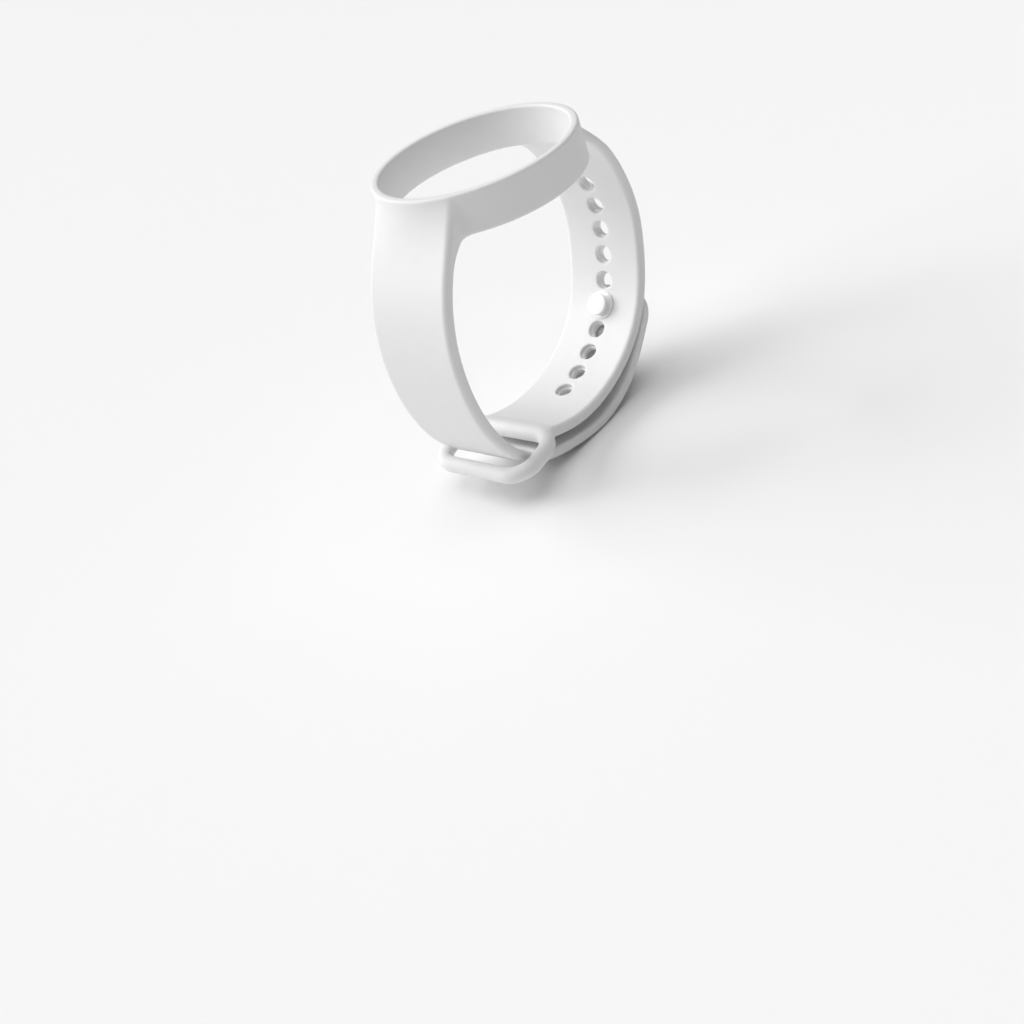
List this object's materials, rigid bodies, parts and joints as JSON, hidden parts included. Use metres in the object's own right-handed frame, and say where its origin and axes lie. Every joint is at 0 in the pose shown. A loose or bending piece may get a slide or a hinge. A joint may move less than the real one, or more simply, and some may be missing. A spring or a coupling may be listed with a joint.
{
  "type": "wristband for a round tracker",
  "caption": "Soft wristband with an empty round socket, a holed strap, a keeper loop and a tail fastened by a press-in stud.",
  "frame": {"origin": "below the middle of the band, on the level of its lowest point", "axes": "+Z out of the socket ring, away from the wrist; +Y along the wrist; +X from the plain strap towards the holed strap"},
  "size_m": [0.0653, 0.0434, 0.0669],
  "materials": {
    "silicone": "satin white moulded silicone with a very fine grain",
    "stud_plastic": "glossy white"
  },
  "bodies": {
    "band": {"socket_ring": "silicone", "plain_strap": "silicone", "holed_strap_upper": "silicone", "holed_strap_catch": "silicone", "holed_strap_lower": "silicone"},
    "keeper": {"keeper_loop": "silicone"},
    "tail_root": {"tail_root": "silicone"},
    "tail_middle": {"tail_middle": "silicone"},
    "tail_tip": {"tail_tip": "silicone", "stud_pin": "stud_plastic", "stud_cap": "stud_plastic"}
  },
  "joints": [
    {"name": "keeper_flex", "type": "hinge", "parent": "band", "child": "keeper", "pos_m": [-0.0152, 0, 0.00938], "axis": [0, 1, 0], "range_deg": [-14, 5], "stiffness_Nm_per_rad": 0.01},
    {"name": "tail_peel", "type": "hinge", "parent": "band", "child": "tail_root", "pos_m": [-0.00934, 0, 0.00132], "axis": [0, 1, 0], "range_deg": [0, 22], "stiffness_Nm_per_rad": 0.01, "springref_deg": -11.46, "deforming": ["holed_strap_catch"]},
    {"name": "tail_curl", "type": "hinge", "parent": "tail_root", "child": "tail_middle", "pos_m": [0.0061, 0, 0.00007], "axis": [0, 1, 0], "range_deg": [0, 33], "stiffness_Nm_per_rad": 0.005, "springref_deg": -11.46},
    {"name": "tail_tip_lift", "type": "hinge", "parent": "tail_middle", "child": "tail_tip", "pos_m": [0.0201, 0, 0.00695], "axis": [0, 1, 0], "range_deg": [0, 55], "stiffness_Nm_per_rad": 0.005, "springref_deg": -11.46}
  ],
  "couplings": [
    {"joint": "tail_curl", "follows": "tail_peel", "ratio": 1.5},
    {"joint": "tail_tip_lift", "follows": "tail_peel", "ratio": 2.5}
  ]
}
